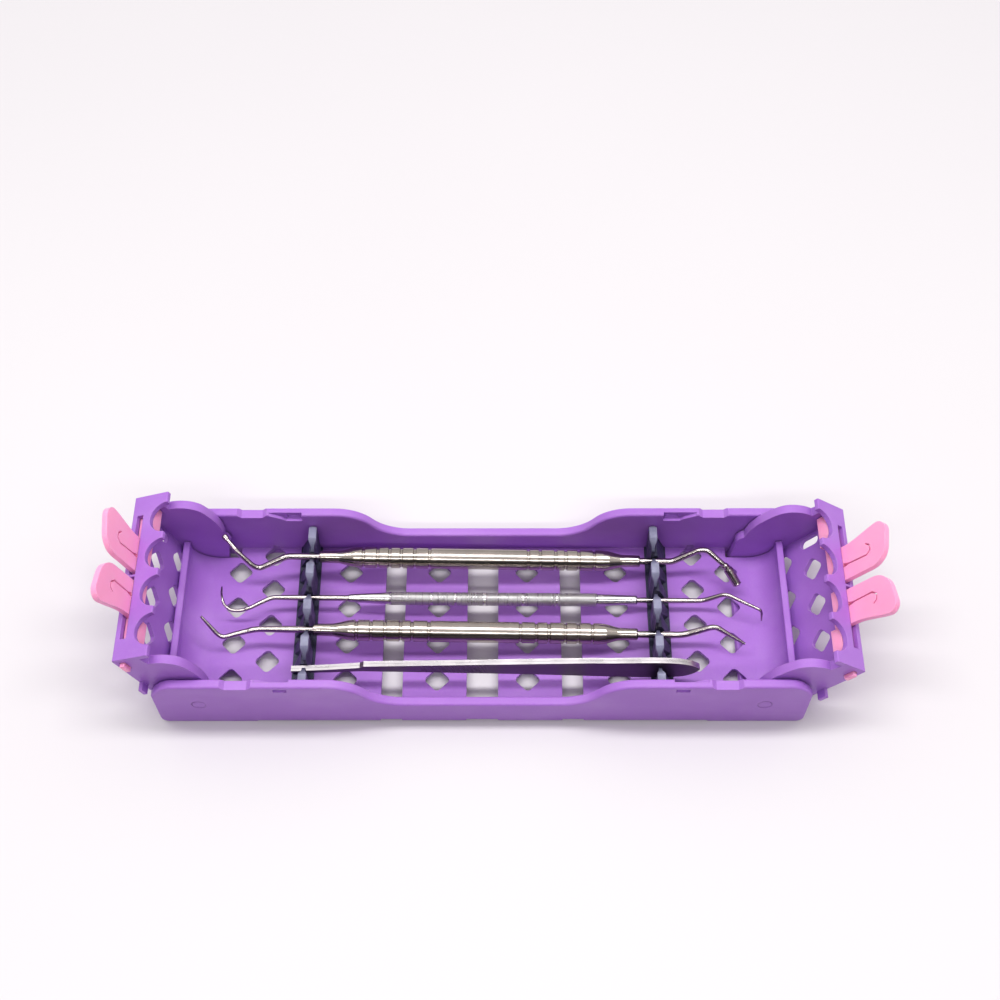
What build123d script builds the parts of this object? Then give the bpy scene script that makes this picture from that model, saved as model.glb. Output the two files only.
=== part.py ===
from build123d import *
import math
import os

# Hinged instrument cassette, open, with four instruments lying in it.
# +X along the tray to its right end, +Y to the back wall, +Z up. Millimetres.
# Each piece is drawn about the middle of the tray and then moved by SHIFT_X, because
# the two lids stand open by different angles: the origin is the middle of the whole
# open cassette's footprint, on the surface that it stands on.

os.makedirs("parts", exist_ok=True)

# ---- driving dimensions -------------------------------------------------
SHIFT_X = -5.5         # from the middle of the tray to the middle of the whole footprint
HALF_W = 33.0          # outer face of a side wall
WALL = 3.2             # side wall thickness
IN_W = HALF_W - WALL   # inner face of a side wall
RIM_HIGH = 26.3        # rim over the two ends
RIM_LOW = 13.1         # rim over the middle
RIM_HIGH_X = 49.7      # where the high rim starts to drop
RIM_LOW_X = 25.0       # where the low rim is reached
BELLY = 1.2            # underside of a wall between its feet
FOOT_X = 74.6          # feet run outward from here
END_X = 104.8          # upright ends of a side wall
RIM_ROUND = 0.8        # rounded rim edges
FLOOR_TOP = 4.5
FLOOR_LOW = 3.0        # underside of the floor
FLOOR_LOW_END = 3.4    # underside of the floor over the open lid's lip
PIVOT_X = 90.5
PIVOT_Z = 13.3
LID_R = 13.0           # outer radius of a lid's end wall
LID_T = 1.5            # lid wall
LID_HALF = 29.4        # outer face of a lid's cheek
CHEEK = 3.0            # cheek thickness
LID_EDGE_X = 59.2      # inner edge of a closed lid
FLANGE_T = 1.8
FLANGE_LOW = 13.9      # lower edge of the lid's inner flange, closed
LIP_ANGLE = 9.5        # where a lid's end wall stops, above the horizontal
TROUGH_IN, TROUGH_OUT, TROUGH_TOP = 8.8, 11.1, 13.0
TROUGH_HALF = 26.05
PIN_R, PIN_HOLE_R = 2.2, 2.26
OPEN_LEFT, OPEN_RIGHT = 110.4, 127.0   # how far each lid stands open
ROW = 13.4             # pitch of the four instrument rows
LID_ROW = 13.2         # pitch of the lid's holes
HOLE = 8.4             # diagonal of a square hole
HOLE_R = 1.5
SLOTS = ((-29.65, 6.9), (0.0, 10.35), (29.65, 6.9))
SLOT_HALF = 27.7
RAIL_X = 57.4
RAIL_CREST = 19.8
SLIT_LOW = 8.2         # bottom of the slit that grips a shank
SLIT_MOUTH = 16.5      # where the slit flares towards the crests
SLIT_W = 1.3           # half its width
CREST_W = 1.7          # half the flat length of a crest
LEVER_LOW, LEVER_TOP = 22.4, 24.3
LATCH_TRAVEL = 1.1
BOLT_X = (61.5, 65.3)
BOLT_Z = (23.1, 24.6)
PEG_X = (75.3, 78.5)   # pegs on the cheeks
NOTCH_X = 77.3         # middle of the rim notch that takes a peg
PIN_END = 32.9         # outer end of a hinge pin, almost flush with the wall's face
PAD_LOW = 19.4         # lower edge of a latch's pad, clear of the tweezers below it
SCALER_R = 3.5
EXPLORER_R = 2.2
SHANK_R = 1.2


def place(piece, name):
    """Moves a finished piece from the tray's middle to the part's own origin, names it and writes it out."""
    with BuildPart() as placed:
        add(piece.moved(Location((SHIFT_X, 0, 0))))
    placed.part.label = name
    export_step(placed.part, f"parts/{name}.step")


def at(sk, x, y, tol=0.02):
    """Vertices of a sketch near a point of its own plane."""
    return [v for v in sk.vertices() if abs(v.X - x) < tol and abs(v.Y - y) < tol]


def polar(r, deg):
    return (PIVOT_X + r * math.cos(math.radians(deg)), PIVOT_Z + r * math.sin(math.radians(deg)))


def box(x0, x1, y0, y1, z0, z1, mode=Mode.ADD):
    """A block between two corners."""
    with Locations(((x0 + x1) / 2, (y0 + y1) / 2, (z0 + z1) / 2)):
        Box(x1 - x0, y1 - y0, z1 - z0, mode=mode)


# ---- tray ---------------------------------------------------------------
S_W, S_H = RIM_HIGH_X - RIM_LOW_X, RIM_HIGH - RIM_LOW
S_R = (S_W**2 + S_H**2) / (4 * S_H)
S_A = math.asin(S_W / 2 / S_R) / 2
MID = ((RIM_HIGH_X + RIM_LOW_X) / 2, (RIM_HIGH + RIM_LOW) / 2)
END_R = 15.6
TOP_A = math.degrees(math.asin((RIM_HIGH - PIVOT_Z) / END_R))
END_A = math.degrees(math.acos((END_X - PIVOT_X) / END_R))

with BuildPart() as wall:
    with BuildSketch(Plane.XZ) as outline:
        with BuildLine():
            Line((0, BELLY), (FOOT_X - 1.6, BELLY))
            Line((FOOT_X - 1.6, BELLY), (FOOT_X, 0))
            Line((FOOT_X, 0), (END_X, 0))
            Line((END_X, 0), polar(END_R, END_A))
            ThreePointArc(polar(END_R, END_A), polar(END_R, (END_A + TOP_A) / 2), polar(END_R, TOP_A))
            Line(polar(END_R, TOP_A), (RIM_HIGH_X, RIM_HIGH))
            ThreePointArc(
                (RIM_HIGH_X, RIM_HIGH),
                (RIM_HIGH_X - S_R * math.sin(S_A), RIM_HIGH - S_R * (1 - math.cos(S_A))),
                MID,
            )
            ThreePointArc(
                MID,
                (RIM_LOW_X + S_R * math.sin(S_A), RIM_LOW + S_R * (1 - math.cos(S_A))),
                (RIM_LOW_X, RIM_LOW),
            )
            Line((RIM_LOW_X, RIM_LOW), (0, RIM_LOW))
            mirror(about=Plane.YZ)
        make_face()
        for side in (-1, 1):
            fillet(at(outline, side * END_X, 0), 2.8)
            top = polar(END_R, TOP_A)
            fillet(at(outline, side * top[0], top[1]), 6.0)
            low = polar(END_R, END_A)
            fillet(at(outline, side * low[0], low[1]), 2.5)
    extrude(amount=WALL / 2, both=True)
    faces = wall.faces().filter_by(Axis.Y)
    rim = [e for f in faces for e in f.edges() if e.center().Z > 4.0]
    fillet(rim, RIM_ROUND)
    # rim notches for the lid's pegs
    for side in (-1, 1):
        with BuildSketch(Plane.XZ.offset(-WALL)):
            with BuildLine():
                Polyline(
                    (side * (NOTCH_X - 5.0), RIM_HIGH + 0.01), (side * (NOTCH_X - 3.5), RIM_HIGH - 1.5),
                    (side * (NOTCH_X + 3.5), RIM_HIGH - 1.5), (side * (NOTCH_X + 5.0), RIM_HIGH + 0.01),
                    close=True,
                )
            make_face()
        extrude(amount=2 * WALL, mode=Mode.SUBTRACT)

with BuildPart() as tray:
    add(wall.part.moved(Location((0, HALF_W - WALL / 2, 0))))
    add(wall.part.moved(Location((0, -HALF_W + WALL / 2, 0))))
    box(-78.0, 78.0, -IN_W - 0.7, IN_W + 0.7, FLOOR_LOW, FLOOR_TOP)
    for side in (-1, 1):
        a, b = sorted((side * 77.9, side * 83.5))
        box(a, b, -IN_W - 0.7, IN_W + 0.7, FLOOR_LOW_END, FLOOR_TOP)
        a, b = sorted((side * 83.4, side * PIVOT_X))
        box(a, b, -TROUGH_HALF, TROUGH_HALF, FLOOR_LOW_END, FLOOR_TOP)
        with BuildSketch(Plane.XZ.offset(-TROUGH_HALF)) as end:
            with BuildLine():
                pts = [polar(TROUGH_IN, TROUGH_TOP), polar(TROUGH_IN, -38.5), polar(TROUGH_IN, -90),
                       polar(TROUGH_OUT, -90), polar(TROUGH_OUT, -38.5), polar(TROUGH_OUT, TROUGH_TOP)]
                pts = [(side * x, z) for x, z in pts]
                ThreePointArc(*pts[:3])
                Line(pts[2], pts[3])
                ThreePointArc(*pts[3:])
                Line(pts[5], pts[0])
            make_face()
            fillet(at(end, *pts[5]) + at(end, *pts[0]), 0.5)
        extrude(amount=2 * TROUGH_HALF)
    # slots across the floor, and the square holes turned by 45 degrees
    with BuildSketch(Plane.XY.offset(FLOOR_LOW - 1)):
        for x, w in SLOTS:
            with Locations((x, 0)):
                RectangleRounded(w, 2 * SLOT_HALF, 1.1)
        for col in (14.9, 45.2, 83.1):
            with Locations(*[(s * col, r * ROW) for s in (-1, 1) for r in (-1.5, -0.5, 0.5, 1.5)]):
                RectangleRounded(HOLE / math.sqrt(2) + 0.35, HOLE / math.sqrt(2) + 0.35, HOLE_R, rotation=45)
        with Locations(*[(s * 71.4, r * ROW) for s in (-1, 1) for r in (-1, 0, 1)]):
            RectangleRounded(HOLE / math.sqrt(2) + 0.35, HOLE / math.sqrt(2) + 0.35, HOLE_R, rotation=45)
    extrude(amount=4, mode=Mode.SUBTRACT)
    # the last holes of that row run a little way into the foot of the walls
    with BuildSketch(Plane.XY.offset(FLOOR_LOW - 1)):
        with Locations(*[(s * 71.4, t * 26.6) for s in (-1, 1) for t in (-1, 1)]):
            RectangleRounded(HOLE / math.sqrt(2) + 0.35, HOLE / math.sqrt(2) + 0.35, HOLE_R, rotation=45)
        Rectangle(200, 2 * (HALF_W - 2.0), mode=Mode.INTERSECT)
    extrude(amount=4.3, mode=Mode.SUBTRACT)
    # sockets for the rails' feet
    with BuildSketch(Plane.XY.offset(FLOOR_LOW - 1)):
        with Locations(*[(s * RAIL_X, y) for s in (-1, 1) for y in (-20.1, 0, 20.1)]):
            Circle(1.6)
    extrude(amount=4, mode=Mode.SUBTRACT)
    # pivot holes through both walls
    with Locations(*[Location((s * PIVOT_X, 0, PIVOT_Z), (90, 0, 0)) for s in (-1, 1)]):
        Cylinder(PIN_HOLE_R, 2 * HALF_W + 2, mode=Mode.SUBTRACT)
    # the hole's outer mouth is relieved above the pin
    with Locations(*[Location((s * PIVOT_X, t * (HALF_W - 0.2), PIVOT_Z + 0.4), (90, 0, 0)) for s in (-1, 1) for t in (-1, 1)]):
        Cylinder(PIN_HOLE_R, 2.4, mode=Mode.SUBTRACT)
    for side in (-1, 1):
        for wall_side in (-1, 1):
            # latch slot through the wall and the lead-in down to it
            xa, xb = sorted((side * (BOLT_X[0] - 0.3), side * (BOLT_X[1] + 0.3)))
            ya, yb = sorted((wall_side * (IN_W - 0.5), wall_side * (HALF_W + 0.5)))
            box(xa, xb, ya, yb, BOLT_Z[0] - 0.25, BOLT_Z[1] + 0.25, Mode.SUBTRACT)
            with BuildSketch(Plane.XZ.offset(-wall_side * (IN_W + 1.2))):
                with BuildLine():
                    Polyline(*[(side * x, z) for x, z in (
                        (60.6, RIM_HIGH + 0.5), (60.6, BOLT_Z[0] - 0.25), (66.2, BOLT_Z[0] - 0.25),
                        (67.4, BOLT_Z[0] + 0.9), (71.6, RIM_HIGH - 0.3), (71.6, RIM_HIGH + 0.5))], close=True)
                make_face()
            extrude(amount=wall_side * 1.7, mode=Mode.SUBTRACT)
            # shallow notch in the wall's underside at each floor slot
    for x, w in SLOTS:
        for wall_side in (-1, 1):
            ya, yb = sorted((wall_side * (IN_W - 0.5), wall_side * (HALF_W + 0.5)))
            box(x - w / 2, x + w / 2, ya, yb, BELLY - 0.5, BELLY + 0.9, Mode.SUBTRACT)
place(tray.part, "tray")

# ---- silicone rails -----------------------------------------------------
FLARE = ROW / 2 - CREST_W
VALLEY = [(-FLARE, RAIL_CREST), (-SLIT_W, SLIT_MOUTH), (-SLIT_W, SLIT_LOW),
          (SLIT_W, SLIT_LOW), (SLIT_W, SLIT_MOUTH), (FLARE, RAIL_CREST)]
RAIL_HALF = IN_W - 0.3

# the lens-shaped teeth, cut to the same valleys as the web
with BuildPart() as teeth:
    with BuildSketch(Plane.XY.offset(FLOOR_TOP)):
        for i in range(5):
            c = (i - 2) * ROW
            lo, hi = max(c - 4.0, -RAIL_HALF), min(c + 4.0, RAIL_HALF)
            with BuildLine():
                Polyline((RAIL_X - 0.5, lo), (RAIL_X - 1.3, max(c - 2.3, lo)), (RAIL_X - 1.3, min(c + 2.3, hi)),
                         (RAIL_X - 0.5, hi), (RAIL_X + 0.5, hi), (RAIL_X + 1.3, min(c + 2.3, hi)),
                         (RAIL_X + 1.3, max(c - 2.3, lo)), (RAIL_X + 0.5, lo), close=True)
            make_face()
    extrude(amount=RAIL_CREST - FLOOR_TOP)
    for i in range(4):
        c = (i - 1.5) * ROW
        with BuildSketch(Plane.YZ.offset(RAIL_X - 5)):
            with BuildLine():
                Polyline(*[(c + y, z) for y, z in VALLEY], (c + FLARE, RAIL_CREST + 1), (c - FLARE, RAIL_CREST + 1), close=True)
            make_face()
        extrude(amount=10, mode=Mode.SUBTRACT)

with BuildPart() as rail:
    # toothed web, seen along X
    with BuildSketch(Plane.YZ.offset(RAIL_X - 0.55)):
        with BuildLine():
            prof = [(-RAIL_HALF, FLOOR_TOP), (-RAIL_HALF, RAIL_CREST - 1.0), (-RAIL_HALF + 0.9, RAIL_CREST)]
            for i in range(4):
                prof += [((i - 1.5) * ROW + y, z) for y, z in VALLEY]
            prof += [(RAIL_HALF - 0.9, RAIL_CREST), (RAIL_HALF, RAIL_CREST - 1.0), (RAIL_HALF, FLOOR_TOP)]
            Polyline(*prof, close=True)
        make_face()
    extrude(amount=1.1)
    add(teeth.part)
    # foot strip and the ribbed outer slope
    box(RAIL_X - 1.9, RAIL_X + 5.3, -RAIL_HALF, RAIL_HALF, FLOOR_TOP, FLOOR_TOP + 1.2)
    for i in range(5):
        c = (i - 2) * ROW
        lo, hi = max(c - 5.2, -RAIL_HALF), min(c + 5.2, RAIL_HALF)
        with BuildSketch(Plane.XZ.offset(-hi)):
            with BuildLine():
                Polyline((RAIL_X + 0.2, FLOOR_TOP), (RAIL_X + 5.2, FLOOR_TOP), (RAIL_X + 4.9, FLOOR_TOP + 1.3),
                         (RAIL_X + 1.6, 13.4), (RAIL_X + 0.2, 13.4), close=True)
            make_face()
        extrude(amount=hi - lo)
    # V channels down the slope between the ribs
    for i in range(5):
        c = (i - 2) * ROW
        if abs(c) > 20:
            continue
        with BuildSketch(Plane.XY.offset(FLOOR_TOP + 1.2)):
            with BuildLine():
                Polyline((RAIL_X + 1.4, c), (RAIL_X + 6.0, c - 3.0), (RAIL_X + 6.0, c + 3.0), close=True)
            make_face()
        extrude(amount=10, mode=Mode.SUBTRACT)
    with Locations(*[(RAIL_X, y, 3.45) for y in (-20.1, 0, 20.1)]):
        Cylinder(1.55, 2.3)

with BuildPart() as rail_right:
    add(rail.part)
place(rail_right.part, "rail_right")

with BuildPart() as rail_left:
    add(rail.part.mirror(Plane.YZ))
place(rail_left.part, "rail_left")

# ---- lid, drawn closed at the right end ---------------------------------
LID_IN = LID_R - LID_T
LOBE = 4.6
lip_out, lip_in = polar(LID_R, LIP_ANGLE), polar(LID_IN, LIP_ANGLE)
arc_mid = (90 + LIP_ANGLE) / 2

with BuildPart() as lid:
    # top and end wall in one sheet
    with BuildSketch(Plane.XZ.offset(-LID_HALF)) as sheet:
        with BuildLine():
            Line((LID_EDGE_X, RIM_HIGH), (PIVOT_X, RIM_HIGH))
            ThreePointArc((PIVOT_X, RIM_HIGH), polar(LID_R, arc_mid), lip_out)
            Line(lip_out, lip_in)
            ThreePointArc(lip_in, polar(LID_IN, arc_mid), (PIVOT_X, PIVOT_Z + LID_IN))
            Line((PIVOT_X, PIVOT_Z + LID_IN), (LID_EDGE_X + FLANGE_T, PIVOT_Z + LID_IN))
            Line((LID_EDGE_X + FLANGE_T, PIVOT_Z + LID_IN), (LID_EDGE_X + FLANGE_T, FLANGE_LOW))
            Line((LID_EDGE_X + FLANGE_T, FLANGE_LOW), (LID_EDGE_X, FLANGE_LOW))
            Line((LID_EDGE_X, FLANGE_LOW), (LID_EDGE_X, RIM_HIGH))
        make_face()
        fillet(at(sheet, LID_EDGE_X, RIM_HIGH), 0.5)
        fillet(at(sheet, LID_EDGE_X, FLANGE_LOW) + at(sheet, LID_EDGE_X + FLANGE_T, FLANGE_LOW), 0.35)
    extrude(amount=2 * LID_HALF)
    # cheeks
    for y0 in (LID_HALF, -LID_HALF + CHEEK):
        with BuildSketch(Plane.XZ.offset(-y0)) as cheek:
            with BuildLine():
                Line((LID_EDGE_X + 0.9, RIM_HIGH - 0.7), (PIVOT_X, RIM_HIGH - 0.7))
                ThreePointArc((PIVOT_X, RIM_HIGH - 0.7), polar(LID_R - 0.7, arc_mid), polar(LID_R - 0.7, LIP_ANGLE))
                lobe_a = (PIVOT_X + LOBE * math.cos(math.radians(-35)), PIVOT_Z + LOBE * math.sin(math.radians(-35)))
                Line(polar(LID_R - 0.7, LIP_ANGLE), lobe_a)
                lobe_b = (PIVOT_X - LOBE * math.cos(math.radians(65)), PIVOT_Z - LOBE * math.sin(math.radians(65)))
                ThreePointArc(lobe_a, (PIVOT_X, PIVOT_Z - LOBE), lobe_b)
                edge = [lobe_b] + [(PIVOT_X - dx, PIVOT_Z + dz) for dx, dz in
                                   ((7.1, -6.0), (12.4, -6.6), (17.0, -6.2), (21.3, -4.9), (24.1, -2.0), (25.2, 0.6), (25.6, 3.5))]
                Spline(*edge)
                # the flange's lower corner stands free of the cheek
                Line(edge[-1], (LID_EDGE_X + 0.9, PIVOT_Z + 4.3))
                Line((LID_EDGE_X + 0.9, PIVOT_Z + 4.3), (LID_EDGE_X + 0.9, RIM_HIGH - 0.7))
            make_face()
        extrude(amount=CHEEK)
    # scallops over the instrument rows
    with BuildSketch(Plane.YZ.offset(LID_EDGE_X - 1)):
        for i in range(4):
            c = (i - 1.5) * ROW
            with Locations((c, FLANGE_LOW - 0.3)):
                Ellipse(5.5, 5.9)
    extrude(amount=FLANGE_T + 1.1, mode=Mode.SUBTRACT)
    # two slots for the latch levers
    for s in (-1, 1):
        ya, yb = sorted((s * 0.4, s * 22.2))
        box(LID_EDGE_X - 1, LID_EDGE_X + FLANGE_T + 0.1, ya, yb, LEVER_LOW - 0.2, LEVER_TOP + 0.2, Mode.SUBTRACT)
    # bolt holes through the cheeks
    for s in (-1, 1):
        ya, yb = sorted((s * (LID_HALF - CHEEK - 0.5), s * (LID_HALF + 0.5)))
        box(BOLT_X[0] - 0.3, BOLT_X[1] + 0.3, ya, yb, BOLT_Z[0] - 0.25, BOLT_Z[1] + 0.25, Mode.SUBTRACT)
    # square holes and slots in the top
    with BuildSketch(Plane.XY.offset(RIM_HIGH - 3)):
        with Locations(*[(86.5, r * LID_ROW) for r in (-1.5, -0.5, 0.5, 1.5)]
                       + [(74.2, r * LID_ROW) for r in (-1, 0, 1)]):
            RectangleRounded(HOLE / math.sqrt(2) + 0.35, HOLE / math.sqrt(2) + 0.35, HOLE_R, rotation=45)
        with Locations((74.2, 23.55), (74.2, -23.55)):
            SlotOverall(7.9, 3.5)
    extrude(amount=4, mode=Mode.SUBTRACT)
    # pegs that seat in the rim notches, and the hinge pins
    for s in (-1, 1):
        ya, yb = sorted((s * (LID_HALF - 0.5), s * (LID_HALF + 3.0)))
        box(*PEG_X, ya, yb, RIM_HIGH - 1.3, RIM_HIGH, Mode.ADD)
        with Locations(Location((PIVOT_X, s * (LID_HALF + PIN_END - 0.5) / 2, PIVOT_Z), (90, 0, 0))):
            Cylinder(PIN_R, PIN_END - LID_HALF + 0.5)

right_axis = Axis((PIVOT_X, 0, PIVOT_Z), (0, 1, 0))
left_axis = Axis((-PIVOT_X, 0, PIVOT_Z), (0, -1, 0))

with BuildPart() as lid_right:
    add(lid.part.rotate(right_axis, OPEN_RIGHT))
place(lid_right.part, "lid_right")

with BuildPart() as lid_left:
    add(lid.part.mirror(Plane.YZ).rotate(left_axis, OPEN_LEFT))
place(lid_left.part, "lid_left")

# ---- latch, drawn closed at the right end, back half --------------------
LEVER = [(0.0, 1.7), (7.5, 1.75), (12.2, 1.95), (14.4, 2.9), (16.4, 5.0), (17.9, 10.8), (18.2, 13.2),
         (16.9, 15.6), (14.6, 16.2), (9.6, 15.2), (5.2, 14.2), (0.0, 13.8)]
SLIT = [(-0.5, 7.0), (9.6, 6.7), (11.2, 7.9), (11.0, 9.8), (9.8, 10.6)]

with BuildPart() as latch:
    with BuildSketch(Plane.XY.offset(LEVER_LOW)):
        with BuildLine():
            face_x = LID_EDGE_X
            pts = [(face_x - u, y) for u, y in LEVER]
            Line((face_x + 4.0, 1.7), pts[0])
            Line(pts[0], pts[1])
            Spline(*pts[1:9], tangents=[(-1, 0.01), (0.95, -0.2)], tangent_scalars=[1, 1])
            Spline(pts[8], pts[9], pts[10], pts[11])
            Line(pts[11], (face_x + 4.0, 13.8))
            Line((face_x + 4.0, 13.8), (face_x + 4.0, 1.7))
        make_face()
    extrude(amount=LEVER_TOP - LEVER_LOW)
    # carrier behind the flange, pad at its outer end, and the bolt
    box(LID_EDGE_X + FLANGE_T + 0.25, 64.2, 1.7, 26.1, 20.4, 24.5)
    box(LID_EDGE_X + FLANGE_T + 0.25, 65.3, 15.2, 26.1, PAD_LOW, 24.5)
    box(BOLT_X[0], BOLT_X[1], 25.0, 30.7, BOLT_Z[0], BOLT_Z[1])
    # J-shaped slit that frees the spring tongue
    with BuildSketch(Plane.XY.offset(LEVER_LOW - 0.5)):
        pts = [(LID_EDGE_X - u, y) for u, y in SLIT]
        for a, b in zip(pts, pts[1:]):
            d = math.hypot(b[0] - a[0], b[1] - a[1])
            with Locations(Location(((a[0] + b[0]) / 2, (a[1] + b[1]) / 2), math.degrees(math.atan2(b[1] - a[1], b[0] - a[0])))):
                SlotCenterToCenter(d, 0.5)
        with BuildLine():
            Polyline((LID_EDGE_X + 0.2, 6.2), (LID_EDGE_X + 0.2, 7.8), (LID_EDGE_X - 3.2, 6.95), close=True)
        make_face()
    extrude(amount=3.0, mode=Mode.SUBTRACT)
    # small engraved arrow that points to the other lever
    with BuildSketch(Plane.XY.offset(LEVER_TOP - 0.3)):
        ax = LID_EDGE_X - 4.7
        with Locations((ax, 10.9)):
            Rectangle(0.45, 3.4)
        with BuildLine():
            Polyline((ax, 8.6), (ax - 0.9, 10.0), (ax + 0.9, 10.0), close=True)
        make_face()
    extrude(amount=0.5, mode=Mode.SUBTRACT)

for name, front, left in (
    ("latch_right_back", False, False), ("latch_right_front", True, False),
    ("latch_left_back", False, True), ("latch_left_front", True, True),
):
    shape = latch.part.mirror(Plane.XZ) if front else latch.part
    if left:
        shape = shape.mirror(Plane.YZ).rotate(left_axis, OPEN_LEFT)
    else:
        shape = shape.rotate(right_axis, OPEN_RIGHT)
    with BuildPart() as piece:
        add(shape)
    place(piece.part, name)


# ---- instruments --------------------------------------------------------
def rounded(points, radii, bend):
    """Stations along a polyline with its corners rounded: (point, radius), closer together in the bends."""
    pts = [Vector(*p) for p in points]
    out = [(pts[0], radii[0])]
    for i in range(1, len(pts) - 1):
        a, p, c = pts[i - 1], pts[i], pts[i + 1]
        cut = min(bend, 0.42 * (p - a).length, 0.42 * (c - p).length)
        start, end = p + (a - p).normalized() * cut, p + (c - p).normalized() * cut
        for t in (0.0, 0.25, 0.5, 0.75, 1.0):
            out.append((start * (1 - t) ** 2 + p * (2 * t * (1 - t)) + end * t**2, radii[i]))
    out.append((pts[-1], radii[-1]))
    return out


def rod(points, radii, bend=2.2):
    """Circles for a smooth bent rod to loft, each square to the rod's own line."""
    stations = rounded(points, radii, bend)
    side = Vector(0, 1, 0)
    faces = []
    for i, (p, r) in enumerate(stations):
        a, c = stations[max(i - 1, 0)][0], stations[min(i + 1, len(stations) - 1)][0]
        t = (c - a).normalized()
        side = (side - t * side.dot(t)).normalized()
        with BuildSketch(Plane(origin=p, x_dir=side, z_dir=t)) as ring:
            Circle(r)
        faces.append(ring.sketch.faces()[0])
    return faces


def handle(name, profile, axis, bore, tang):
    """A turned handle along its axis, with a blind socket for each tip. The profile counts from the middle."""
    with BuildPart() as turned:
        with BuildSketch(Plane.XZ):
            with BuildLine():
                Polyline(*profile, close=True)
            make_face()
        revolve(axis=Axis.X)
        lo, hi = profile[0][0], profile[-1][0]
        with Locations(Location((lo, 0, 0), (0, 90, 0)), Location((hi, 0, 0), (0, 90, 0))):
            Cylinder(bore, 2 * tang, mode=Mode.SUBTRACT)
    start, end = Vector(*axis[0]), Vector(*axis[1])
    along = (end - start).normalized()
    up = (Vector(0, 0, 1) - along * along.Z).normalized()
    frame = Plane(origin=(start + end) * 0.5, x_dir=along, z_dir=up)
    with BuildPart() as placed:
        add(turned.part.moved(frame.location))
    place(placed.part, name)


def ringed(half, grooves):
    """Profile of a thick handle: collar, cone, ringed grip, smooth middle, ringed grip, cone, collar."""
    r = SCALER_R
    pts = [(-half, 0), (-half, 1.75), (-half + 0.3, 1.95), (-half + 6.6, 2.1), (-half + 7.4, 2.25),
           (-half + 11.5, r - 0.25), (-half + 13.5, r)]
    for g in sorted(grooves):
        pts += [(g - 0.55, r), (g - 0.3, r - 0.4), (g + 0.3, r - 0.4), (g + 0.55, r)]
    pts += [(half - 12.5, r), (half - 10.5, r - 0.25), (half - 6.8, 2.25), (half - 6.0, 2.1), (half - 0.3, 1.95),
            (half, 1.75), (half, 0)]
    return pts


def along(axis, x):
    """The point of an axis at a given X."""
    (x0, y0, z0), (x1, y1, z1) = axis
    t = (x - x0) / (x1 - x0)
    return (x, y0 + (y1 - y0) * t, z0 + (z1 - z0) * t)


def tip(name, points, radii, bend=2.2):
    """A bent tip as one smooth rod."""
    with BuildPart() as bent:
        loft(sections=rod(points, radii, bend), ruled=True)
    place(bent.part, name)


TANG = 5.0

# back scaler
S1 = ((-55.0, 20.1, 15.6), (53.0, 20.1, 12.3))
handle("scaler_back_handle",
       ringed(54.0, (-39.1, -34.3, -30.3, -26.4, -21.9, -16.9, 16.3, 20.3, 25.5, 28.9, 33.3, 38.5)),
       S1, SHANK_R + 0.04, TANG)
tip("scaler_back_left_tip",
    [along(S1, -55.0 + TANG - 0.3), along(S1, -61.0), along(S1, -66.0), (-75.2, 16.9, 13.4), (-77.3, 17.1, 14.6),
     (-82.0, 20.0, 18.8), (-85.5, 23.5, 21.05), (-85.9, 23.9, 21.3), (-86.5, 24.5, 21.7), (-86.9, 24.9, 21.95)],
    [SHANK_R, SHANK_R, 1.1, 0.95, 0.9, 0.8, 0.7, 1.05, 1.05, 0.5], 1.6)
tip("scaler_back_right_tip",
    [along(S1, 53.0 - TANG + 0.3), along(S1, 60.5), along(S1, 64.0), (72.8, 21.9, 16.8), (75.5, 21.6, 17.3),
     (80.4, 18.0, 14.8), (81.9, 17.2, 13.6), (83.0, 16.1, 12.7), (85.6, 12.8, 10.0), (86.0, 12.2, 9.6)],
    [SHANK_R, SHANK_R, 1.1, 0.95, 0.95, 0.9, 1.2, 1.6, 1.5, 0.9], 1.6)

# explorer
S2 = ((-44.8, 6.67, 11.28), (51.6, 6.47, 9.91))
E_HALF = 48.2
handle("explorer_handle",
       [(-E_HALF, 0), (-E_HALF, 1.15), (-E_HALF + 0.3, 1.3), (-E_HALF + 13.6, 2.05), (-E_HALF + 13.9, EXPLORER_R),
        (E_HALF - 13.4, EXPLORER_R), (E_HALF - 13.1, 2.0), (E_HALF - 0.3, 1.6), (E_HALF, 1.4), (E_HALF, 0)],
       S2, 0.99, TANG)
tip("explorer_left_tip",
    [along(S2, -44.8 + TANG - 0.3), along(S2, -60.0), along(S2, -70.6), (-73.8, 4.9, 11.8), (-77.6, 3.1, 11.1),
     (-80.7, 2.3, 10.6), (-84.0, 2.4, 10.6), (-86.4, 4.0, 11.6), (-87.1, 6.8, 13.8), (-86.7, 8.5, 16.0)],
    [0.95, 0.95, 0.8, 0.72, 0.66, 0.6, 0.54, 0.46, 0.36, 0.2])
tip("explorer_right_tip",
    [along(S2, 51.6 - TANG + 0.3), along(S2, 61.0), along(S2, 73.8), (79.8, 6.5, 13.7), (81.6, 6.2, 14.2),
     (92.2, 1.6, 12.3), (92.8, 0.9, 11.4), (92.9, -0.6, 8.7)],
    [0.95, 0.95, 0.8, 0.72, 0.7, 0.5, 0.4, 0.2])

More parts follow.
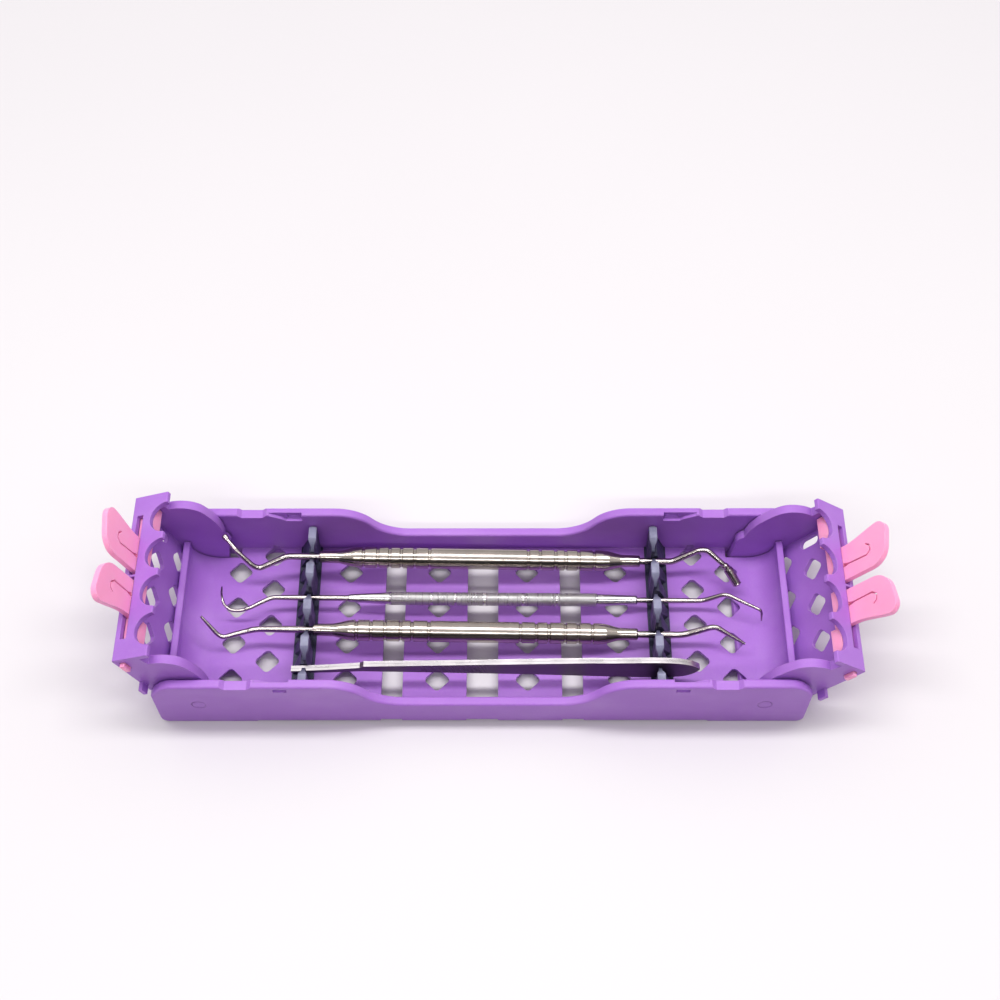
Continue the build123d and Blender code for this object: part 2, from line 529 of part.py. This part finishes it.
# front scaler
S3 = ((-55.6, -6.7, 14.49), (51.2, -6.7, 10.89))
handle("scaler_front_handle",
       ringed(53.4, [g + 2.2 for g in (-41.3, -36.5, -31.9, -26.8, -23.1, -17.6, 12.5, 17.7, 21.8, 27.2, 31.5, 36.1)]),
       S3, SHANK_R + 0.04, TANG)
tip("scaler_front_left_tip",
    [along(S3, -55.6 + TANG - 0.3), along(S3, -61.0), (-74.4, -6.0, 13.6), (-79.3, -7.0, 13.0), (-85.2, -8.5, 12.5),
     (-87.0, -7.9, 13.3), (-92.0, -3.9, 18.6)],
    [SHANK_R, SHANK_R, 1.0, 0.9, 0.8, 0.72, 0.4])
tip("scaler_front_right_tip",
    [along(S3, 51.2 - TANG + 0.3), along(S3, 60.5), along(S3, 66.2), (75.2, -6.0, 14.6), (77.0, -6.1, 14.7),
     (86.3, -10.3, 11.1)],
    [SHANK_R, SHANK_R, 1.1, 0.95, 0.9, 0.45])

# tweezers on edge, its two legs pressed together by the rail's slit
TW_Y, TW_T = -20.1, 0.95
for name, s in (("tweezers_back_leg", 1), ("tweezers_front_leg", -1)):
    with BuildPart() as leg:
        y_mid = TW_Y + s * (TW_T / 2 + 0.03)
        with BuildSketch(Plane.XZ.offset(-(y_mid + TW_T / 2))):
            with BuildLine():
                Polyline((-62.0, 12.2), (-57.0, 12.05), (-50.0, 12.3), (-39.5, 13.2))
                Spline((-39.5, 13.2), (-10, 12.0), (20, 10.5), (44, 8.95), (57, 8.5), (63.1, 8.9), (66, 9.6),
                       (67.9, 10.8), (69.8, 13.0), (70.4, 14.6))
                Spline((70.4, 14.6), (67.3, 17.2), (63, 18.6), (56, 19.15), (50, 19.1), (36, 19.0))
                Polyline((36.0, 19.0), (-38.2, 16.6), (-39.5, 15.6), (-50.0, 14.2), (-62.0, 13.1))
                Line((-62.0, 13.1), (-62.0, 12.2))
            make_face()
        extrude(amount=TW_T)
    place(leg.part, name)
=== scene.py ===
import math

import bmesh
import bpy
from mathutils import Matrix, Vector

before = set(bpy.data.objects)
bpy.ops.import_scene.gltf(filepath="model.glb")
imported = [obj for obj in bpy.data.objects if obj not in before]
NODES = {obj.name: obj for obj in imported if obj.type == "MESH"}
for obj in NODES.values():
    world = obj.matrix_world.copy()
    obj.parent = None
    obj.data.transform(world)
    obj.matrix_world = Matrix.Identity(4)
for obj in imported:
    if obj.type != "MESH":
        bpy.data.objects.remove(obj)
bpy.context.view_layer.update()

MM = 0.001


# ---- node helpers -------------------------------------------------------
class Mat:
    """A small builder for procedural materials."""

    def __init__(self, name):
        self.m = bpy.data.materials.new(name)
        self.m.use_nodes = True
        self.t = self.m.node_tree
        self.t.nodes.clear()
        self.out = self.t.nodes.new("ShaderNodeOutputMaterial")
        self.bsdf = self.t.nodes.new("ShaderNodeBsdfPrincipled")
        self.link(self.bsdf.outputs[0], self.out.inputs[0])
        self.coord = self.t.nodes.new("ShaderNodeTexCoord").outputs["Object"]

    def link(self, a, b):
        self.t.links.new(a, b)

    def node(self, kind, inputs=None, **props):
        n = self.t.nodes.new(kind)
        for k, v in props.items():
            setattr(n, k, v)
        for k, v in (inputs or {}).items():
            s = n.inputs[k]
            if hasattr(v, "is_linked") or hasattr(v, "links"):
                self.link(v, s)
            else:
                s.default_value = v
        return n

    def scaled(self, sx, sy, sz):
        return self.node("ShaderNodeMapping", {"Vector": self.coord, "Scale": (sx, sy, sz)}).outputs[0]

    def noise(self, scale, detail=4.0, rough=0.55, vector=None):
        return self.node("ShaderNodeTexNoise", {"Vector": vector or self.coord, "Scale": scale, "Detail": detail, "Roughness": rough}).outputs["Fac"]

    def ramp(self, fac, stops):
        n = self.t.nodes.new("ShaderNodeValToRGB")
        e = n.color_ramp.elements
        while len(e) < len(stops):
            e.new(0.5)
        for el, (p, c) in zip(e, stops):
            el.position = p
            el.color = c if len(c) == 4 else (*c, 1)
        self.link(fac, n.inputs[0])
        return n.outputs[0]

    def remap(self, fac, a, b, lo=0.0, hi=1.0):
        n = self.node("ShaderNodeMapRange", {"Value": fac, "From Min": lo, "From Max": hi, "To Min": a, "To Max": b})
        return n.outputs[0]

    def math(self, op, a, b):
        n = self.t.nodes.new("ShaderNodeMath")
        n.operation = op
        for i, v in enumerate((a, b)):
            if isinstance(v, (int, float)):
                n.inputs[i].default_value = v
            else:
                self.link(v, n.inputs[i])
        return n.outputs[0]

    def mix(self, fac, a, b, mode="MIX"):
        n = self.t.nodes.new("ShaderNodeMix")
        n.data_type = "RGBA"
        n.blend_type = mode
        for sock, v in ((n.inputs[0], fac), (n.inputs[6], a), (n.inputs[7], b)):
            if isinstance(v, (int, float)):
                sock.default_value = v
            elif isinstance(v, tuple):
                sock.default_value = v if len(v) == 4 else (*v, 1)
            else:
                self.link(v, sock)
        return n.outputs[2]

    def bump(self, height, distance, strength=1.0, normal=None):
        n = self.node("ShaderNodeBump", {"Height": height, "Distance": distance, "Strength": strength})
        if normal is not None:
            self.link(normal, n.inputs["Normal"])
        return n.outputs[0]

    def set(self, **values):
        for k, v in values.items():
            s = self.bsdf.inputs[k.replace("_", " ")]
            if hasattr(v, "links"):
                self.link(v, s)
            else:
                s.default_value = v


def srgb(r, g, b):
    def lin(c):
        c /= 255
        return c / 12.92 if c <= 0.04045 else ((c + 0.055) / 1.055) ** 2.4
    return (lin(r), lin(g), lin(b))


def plastic(name, base, light, dark, radius, edge=0.35, scatter=0.15):
    """Satin moulded plastic: faint flow clouding, fine orange-peel, soft rounded edges that catch light, and a painted
    paler highlight along the edges, partly rubbed wear.
    """
    m = Mat(name)
    bevel = m.node("ShaderNodeBevel", {"Radius": edge * MM}, samples=4)
    # flow lines run along the tray, from the gates outwards
    cloud = m.noise(1.0, 4.0, 0.55, m.scaled(26, 60, 60))
    col = m.ramp(cloud, [(0.30, dark), (0.5, base), (0.72, tuple(b * 0.85 + l * 0.15 for b, l in zip(base, light)))])
    speck = m.noise(1400.0, 2.0)
    col = m.mix(m.remap(speck, 0.0, 0.05, 0.5, 0.8), col, light)
    # painted edge highlight mixed with rubbed wear: rounded edges go a little paler, in patches
    face = m.node("ShaderNodeNewGeometry")
    wear_and_edge_highlight = m.node("ShaderNodeVectorMath", {0: bevel.outputs[0], 1: face.outputs["Normal"]}, operation="DOT_PRODUCT").outputs["Value"]
    wear_and_edge_highlight = m.math("MULTIPLY", m.remap(wear_and_edge_highlight, 0.42, 0.0, 0.80, 0.99), m.remap(m.noise(160.0, 3.0), 0.35, 1.0, 0.35, 0.65))
    col = m.mix(wear_and_edge_highlight, col, light)
    # hairline scratches from the instruments, long and faint
    scratch = m.noise(1.0, 2.0, 0.5, m.scaled(14, 2600, 2600))
    scratch = m.remap(scratch, 0.0, 1.0, 0.66, 0.70)
    rough = m.math("ADD", m.remap(m.noise(110.0, 4.0), 0.33, 0.43, 0.3, 0.7), m.remap(scratch, 0.0, 0.08))
    peel = m.bump(m.noise(1100.0, 2.0), 0.00002, 0.3, bevel.outputs[0])
    peel = m.bump(scratch, -0.000012, 0.25, peel)
    # slow waviness of a thin moulding
    peel = m.bump(m.noise(45.0, 2.0), 0.00025, 0.12, peel)
    m.set(Base_Color=col, Roughness=rough, Normal=peel)
    m.set(Subsurface_Weight=scatter, Subsurface_Radius=radius, Subsurface_Scale=0.0016, IOR=1.49, Specular_IOR_Level=0.36)
    return m.m


PURPLE = srgb(171, 121, 205)
PURPLE_L = srgb(210, 180, 231)
PURPLE_D = srgb(167, 117, 201)
purple = plastic("moulded_purple", PURPLE, PURPLE_L, PURPLE_D, (1.0, 0.5, 1.3))
pink = plastic("moulded_pink", srgb(254, 170, 207), srgb(255, 198, 222), srgb(252, 164, 202), (1.3, 0.6, 0.9), 0.25, 0.25)


def silicone():
    """Smoky translucent silicone, with a painted highlight that makes the crests paler toward the top, and a dusty
    bloom where it is handled.
    """
    m = Mat("smoky_silicone")
    bevel = m.node("ShaderNodeBevel", {"Radius": 0.3 * MM}, samples=4)
    cloud = m.noise(70.0, 4.0)
    col = m.ramp(cloud, [(0.3, srgb(50, 50, 70)), (0.7, srgb(70, 71, 95))])
    z = m.node("ShaderNodeSeparateXYZ", {0: m.coord}).outputs[2]
    # painted highlight: the crests are mixed toward a pale grey, more toward the top, in patches
    crest_highlight = m.remap(z, 0.0, 1.0, 0.0165, 0.0196)
    crest_highlight = m.math("MULTIPLY", crest_highlight, m.remap(m.noise(240.0, 3.0), 0.55, 0.9, 0.3, 0.7))
    col = m.mix(crest_highlight, col, srgb(160, 161, 184))
    bloom = m.remap(m.noise(1800.0, 3.0, 0.7), 0.0, 0.14, 0.5, 0.8)
    col = m.mix(bloom, col, srgb(186, 186, 204))
    grain = m.bump(m.noise(620.0, 3.0), 0.00004, 0.4, bevel.outputs[0])
    m.set(Base_Color=col, Roughness=m.remap(m.noise(260.0, 3.0), 0.34, 0.5, 0.3, 0.7), Normal=grain)
    m.set(Subsurface_Weight=0.3, Subsurface_Radius=(1.0, 1.0, 1.25), Subsurface_Scale=0.0012, IOR=1.41)
    return m.m


def steel(name, base, rough, axis=None, knurls=(), flats=False):
    """Stainless steel, turned or ground: rings round the axis, faint smears, and knurled bands where asked."""
    m = Mat(name)
    smear = m.noise(150.0, 4.0)
    fine = m.noise(1.0, 3.0, 0.55, m.scaled(25, 1500, 1500) if flats else m.scaled(2300, 40, 40))
    draw = m.noise(1.0, 4.0, 0.6, m.scaled(30, 1500, 1500))
    col = m.ramp(smear, [(0.32, tuple(c * 0.9 for c in base)), (0.68, base)])
    r = m.math("ADD", m.remap(fine, rough - 0.03, rough + 0.05, 0.3, 0.7), m.remap(smear, 0.0, 0.05, 0.45, 0.7))
    n = m.bump(fine, 0.000005, 0.25)
    n = m.bump(m.remap(draw, 0, 1, 0.6, 0.75), 0.000004, 0.2, n)
    if axis:
        (x0, y0, z0), (x1, y1, z1) = axis
        xyz = m.node("ShaderNodeSeparateXYZ", {0: m.coord})
        x = xyz.outputs[0]
        dy = m.math("SUBTRACT", xyz.outputs[1], m.remap(x, y0 * MM, y1 * MM, x0 * MM, x1 * MM))
        dz = m.math("SUBTRACT", xyz.outputs[2], m.remap(x, z0 * MM, z1 * MM, x0 * MM, x1 * MM))
        turn = m.math("ARCTAN2", dz, dy)
        a = m.math("MULTIPLY", turn, 7.0)
        b = m.math("MULTIPLY", x, 3100.0)
        one = m.math("ABSOLUTE", m.math("SINE", m.math("ADD", a, b), 0.0), 0.0)
        two = m.math("ABSOLUTE", m.math("SINE", m.math("SUBTRACT", a, b), 0.0), 0.0)
        cut = m.math("MINIMUM", m.math("MINIMUM", one, two), 0.5)
        band = None
        for lo, hi in knurls:
            w = m.math("MULTIPLY", m.remap(x, 0.0, 1.0, (lo - 0.15) * MM, (lo + 0.15) * MM), m.remap(x, 1.0, 0.0, (hi - 0.15) * MM, (hi + 0.15) * MM))
            band = w if band is None else m.math("MAXIMUM", band, w)
        height = m.math("MULTIPLY", cut, band)
        n = m.bump(height, 0.0004, 1.0, n)
        # painted shade: the bottoms of the knurl grooves are darkened toward a quarter of the steel colour
        groove_shade = m.math("MULTIPLY", band, m.remap(cut, 0.92, 0.0, 0.02, 0.40))
        col = m.mix(groove_shade, col, tuple(c * 0.25 for c in base))
        r = m.math("ADD", r, m.math("MULTIPLY", band, 0.1))
    if flats:
        # flat sides are blasted matt and ribbed for grip, and their colour is darkened to grey as painted shade; the
        # edges are polished
        xyz = m.node("ShaderNodeSeparateXYZ", {0: m.coord})
        side = m.math("ABSOLUTE", m.math("ADD", xyz.outputs[1], 0.0201), 0.0)
        side = m.remap(side, 0.0, 1.0, 0.00094, 0.00097)
        x = xyz.outputs[0]
        ribbed = m.math("MULTIPLY", m.remap(x, 0.0, 1.0, -0.0255, -0.0250), m.remap(x, 1.0, 0.0, -0.0040, -0.0035))
        rib = m.math("ABSOLUTE", m.math("SINE", m.math("MULTIPLY", m.math("ADD", x, m.math("MULTIPLY", xyz.outputs[2], 0.35)), 2600.0), 0.0), 0.0)
        rib = m.math("MULTIPLY", m.math("MULTIPLY", rib, ribbed), side)
        n = m.bump(rib, 0.0003, 0.9, n)
        blast = m.noise(2600.0, 2.0)
        n = m.bump(m.math("MULTIPLY", blast, side), 0.00003, 0.4, n)
        # painted shade: the flat sides are darkened toward a grey
        col = m.mix(m.math("MULTIPLY", side, 0.85), col, srgb(124, 115, 124))
        r = m.math("ADD", r, m.math("MULTIPLY", side, 0.16))
    m.set(Base_Color=col, Metallic=1.0, Roughness=r, Normal=n)
    return m.m


rubber = silicone()
satin = steel("satin_steel", srgb(188, 180, 173), 0.18)
ground = steel("ground_steel", srgb(205, 201, 203), 0.28, flats=True)
bright = steel("polished_steel", srgb(190, 182, 180), 0.14)
knurled = steel("knurled_steel", srgb(214, 212, 213), 0.17, ((-50.3, 6.67, 11.28), (46.1, 6.47, 9.91)),
                ((-36.1, -23.0), (-22.2, -15.1), (-14.3, -5.3), (-4.3, 7.5), (8.5, 18.9), (19.7, 32.4)))

for name, node in NODES.items():
    node.data.materials.clear()
    if name.startswith("rail"):
        node.data.materials.append(rubber)
    elif name.startswith("latch"):
        node.data.materials.append(pink)
    elif name.startswith(("tray", "lid")):
        node.data.materials.append(purple)
    elif name == "explorer_handle":
        node.data.materials.append(knurled)
    elif name.startswith("tweezers"):
        node.data.materials.append(ground)
    elif name.endswith("_tip"):
        node.data.materials.append(bright)
    else:
        node.data.materials.append(satin)

# ---- floor and light ----------------------------------------------------
m = Mat("studio_floor")
m.set(Base_Color=m.ramp(m.noise(3.0, 2.0), [(0.3, (0.712, 0.695, 0.708)), (0.7, (0.726, 0.709, 0.722))]), Roughness=0.65)
# far from the object the floor keeps its paleness, so that it runs into the backdrop without a line
away = m.node("ShaderNodeVectorMath", {0: m.coord}, operation="LENGTH").outputs["Value"]
m.set(Emission_Color=(1.0, 0.975, 0.99, 1), Emission_Strength=m.remap(away, 0.0, 0.44, 0.5, 2.2))
bpy.ops.mesh.primitive_plane_add(size=9.6, location=(0, 0, 0))
floor = bpy.context.object
floor.name = "studio_floor"
floor.data.materials.append(m.m)

# a pale backdrop all round, seen but giving no light and no reflection
m = Mat("studio_backdrop")
shine = m.node("ShaderNodeEmission", {"Color": (0.93, 0.90, 0.915, 1), "Strength": m.remap(m.noise(0.1, 1.0), 0.98, 1.0)})
m.link(shine.outputs[0], m.out.inputs[0])
bpy.ops.mesh.primitive_uv_sphere_add(segments=64, ring_count=32, radius=4.6)
backdrop = bpy.context.object
backdrop.name = "studio_backdrop"
backdrop.data.materials.append(m.m)
for way in ("diffuse", "glossy", "transmission", "volume_scatter", "shadow"):
    setattr(backdrop, "visible_" + way, False)

world = bpy.data.worlds.new("studio")
world.use_nodes = True
sky = world.node_tree
way = sky.nodes.new("ShaderNodeTexCoord")
split = sky.nodes.new("ShaderNodeSeparateXYZ")
tilt = sky.nodes.new("ShaderNodeMath")
tilt.operation = "ARCTAN2"
share = sky.nodes.new("ShaderNodeMapRange")
share.inputs["From Min"].default_value = -math.pi
share.inputs["From Max"].default_value = math.pi
room = sky.nodes.new("ShaderNodeValToRGB")
# a wide soft panel overhead, a paler backdrop behind, and a dark room in front: angle from straight up, level
LEVELS = ((-180, 0.10), (-62, 0.04), (-48, 0.2), (-30, 0.62), (22, 0.68), (46, 0.70), (80, 0.54), (180, 0.25))
stops = room.color_ramp.elements
while len(stops) < len(LEVELS):
    stops.new(0.5)
for stop, (angle, value) in zip(stops, LEVELS):
    stop.position = (angle + 180) / 360
    stop.color = (value, value, value, 1)
sky.links.new(way.outputs["Generated"], split.inputs[0])
sky.links.new(split.outputs[1], tilt.inputs[0])
sky.links.new(split.outputs[2], tilt.inputs[1])
sky.links.new(tilt.outputs[0], share.inputs[0])
sky.links.new(share.outputs[0], room.inputs[0])
sky.links.new(room.outputs[0], sky.nodes["Background"].inputs[1])
sky.nodes["Background"].inputs[0].default_value = (1.0, 0.975, 0.985, 1)
bpy.context.scene.world = world


def area(name, where, aim, size, power, colour=(1, 1, 1)):
    light = bpy.data.lights.new(name, "AREA")
    light.shape = "RECTANGLE"
    light.size, light.size_y = size
    light.energy = power
    light.color = colour
    o = bpy.data.objects.new(name, light)
    bpy.context.scene.collection.objects.link(o)
    o.location = where
    o.rotation_euler = (Vector(aim) - Vector(where)).to_track_quat("-Z", "Y").to_euler()
    return o


area("key", (0.0, 0.15, 1.05), (0, 0.0, 0), (1.3, 0.16), 6.6, (1.0, 0.985, 0.99))
area("strip", (0.0, -0.64, 0.88), (0, 0, 0), (1.1, 0.06), 2.4)

# ---- camera -------------------------------------------------------------
cam = bpy.data.cameras.new("camera")
cam.sensor_width = 36
cam.sensor_fit = "HORIZONTAL"
cam.lens = 1.513508 * 36
cam.clip_start = 0.01
camera = bpy.data.objects.new("camera", cam)
bpy.context.scene.collection.objects.link(camera)
turn = Matrix.Rotation(math.radians(0.302), 4, "Z")
place = Matrix.Translation((-0.0055, 0, 0)) @ turn @ Matrix.Translation((0.005999, -0.229969, 0.460209))
camera.matrix_world = place @ Matrix.Rotation(math.radians(90 - 58.505), 4, "X") @ Matrix.Rotation(math.radians(-0.304), 4, "Z")
bpy.context.scene.camera = camera
bpy.context.scene.view_settings.view_transform = "Standard"
bpy.context.scene.view_settings.look = "Medium High Contrast"
